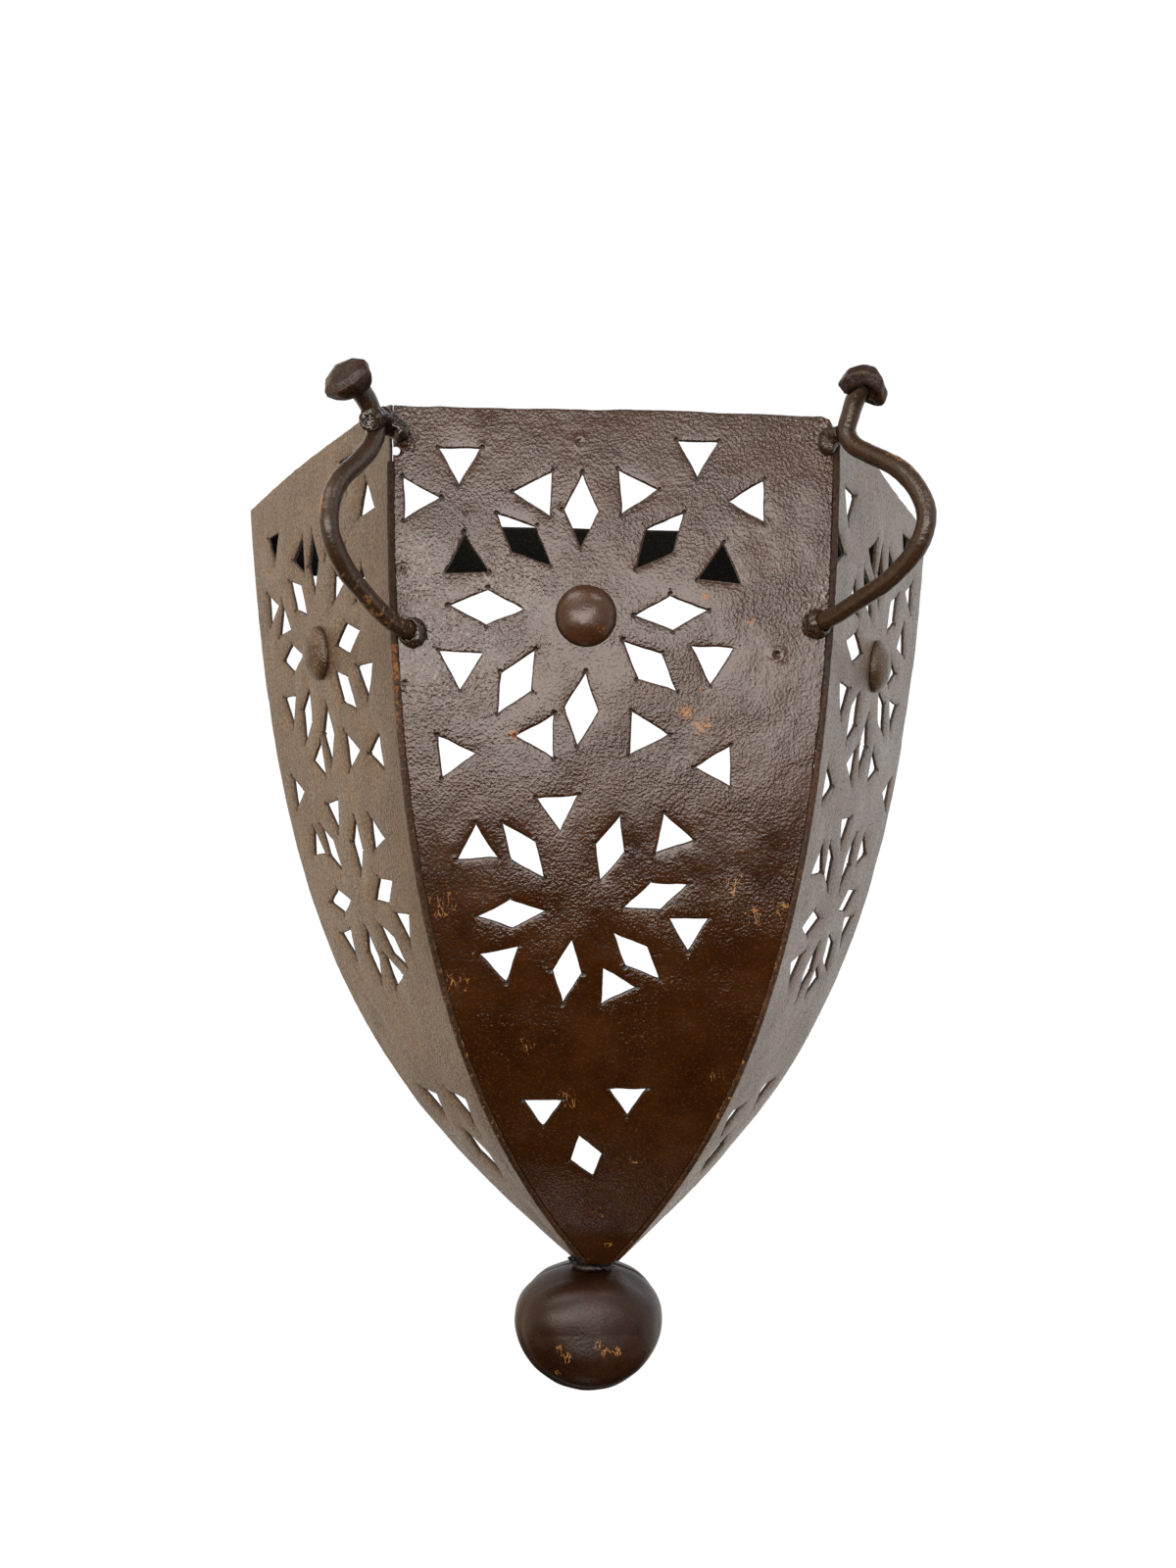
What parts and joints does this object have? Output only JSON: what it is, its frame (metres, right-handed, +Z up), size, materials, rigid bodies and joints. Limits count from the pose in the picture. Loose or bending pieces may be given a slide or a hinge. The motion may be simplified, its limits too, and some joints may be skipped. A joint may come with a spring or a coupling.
{
  "type": "wall sconce",
  "caption": "Tapering pierced iron shell that hangs flat on a wall, with domed studs, bent scroll rods with forged heads at its corners, and a ball under its tip.",
  "frame": {"origin": "on the rear face of the back strap, on its middle line, 6 mm above its lower edge", "axes": "+X to the right as seen from the front, +Y into the wall, +Z up"},
  "size_m": [0.3198, 0.1776, 0.3991],
  "materials": {
    "front_sheet": "dark brown patina with a fine sandy grain, semi-gloss",
    "side_sheet": "grey-brown patina, smoother than the front, semi-gloss",
    "stud_iron": "brown patina, hammered smooth, semi-gloss",
    "rod_iron": "brown patina, worn to ochre along its edges",
    "head_iron": "brown patina, faceted by the hammer",
    "weld_metal": "rough weld bead with rust-brown patina",
    "ball_iron": "dark brown patina, hammered, semi-gloss",
    "strap_iron": "dark patina, matt"
  },
  "bodies": {
    "root": {"front_panel": "front_sheet", "left_panel": "side_sheet", "right_panel": "side_sheet", "left_boss": "stud_iron", "front_boss": "stud_iron", "right_boss": "stud_iron", "left_seam_weld": "weld_metal", "right_seam_weld": "weld_metal", "left_scroll": "rod_iron", "right_scroll": "rod_iron", "left_finial": "head_iron", "right_finial": "head_iron", "left_lower_weld": "weld_metal", "right_lower_weld": "weld_metal", "left_upper_weld": "weld_metal", "right_upper_weld": "weld_metal", "ball_front": "ball_iron", "ball_rear": "ball_iron", "tip_weld": "weld_metal", "back_strap": "strap_iron", "left_strap_weld": "weld_metal", "right_strap_weld": "weld_metal"}
  },
  "joints": []
}
